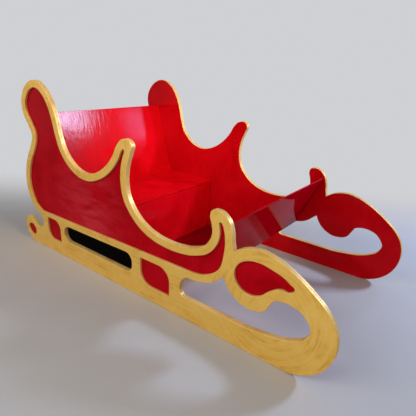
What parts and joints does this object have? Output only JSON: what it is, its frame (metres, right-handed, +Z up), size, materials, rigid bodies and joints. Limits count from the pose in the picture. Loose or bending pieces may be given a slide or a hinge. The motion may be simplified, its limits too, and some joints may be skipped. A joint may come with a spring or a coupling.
{
  "type": "horse drawn sleigh",
  "caption": "Open two-runner sleigh cut from flat boards: red sides with raised gold scroll trim and runners, bench seat, reclined backrest, low floor and raked dash.",
  "frame": {"origin": "on the ground plane, under the middle of the sleigh in length and width", "axes": "+X forward, towards the scrolled runner noses; +Y to the sleigh's left; +Z up"},
  "size_m": [2.393, 1.18, 1.1573],
  "materials": {
    "red_enamel": "glossy red enamel brushed over plywood, light brush marks",
    "gold_paint": "brushed metallic gold paint over rounded plywood edges, streaked and uneven",
    "black_backing": "matt black outer face, red on the cabin side",
    "bare_batten": "sawn softwood batten brushed with the same red enamel"
  },
  "bodies": {
    "root": {"side_panel_left": "red_enamel", "side_panel_right": "red_enamel", "trim_overlay_left": "gold_paint", "trim_overlay_right": "gold_paint", "slot_backing_left": "black_backing", "slot_backing_right": "black_backing", "seat_cleat_left": "bare_batten", "seat_cleat_right": "bare_batten", "riser_block_left": "bare_batten", "riser_block_right": "bare_batten", "backrest_cleat_left": "bare_batten", "backrest_cleat_right": "bare_batten", "dash_cleat_left": "bare_batten", "dash_cleat_right": "bare_batten", "floor_cleat_left": "bare_batten", "floor_cleat_right": "bare_batten", "backrest_board": "red_enamel", "seat_board": "red_enamel", "seat_riser": "red_enamel", "floor_board": "red_enamel", "dash_board": "red_enamel", "seat_rear_batten": "bare_batten", "seat_front_batten": "bare_batten", "riser_foot_batten": "bare_batten", "backrest_foot_batten": "bare_batten"}
  },
  "joints": []
}
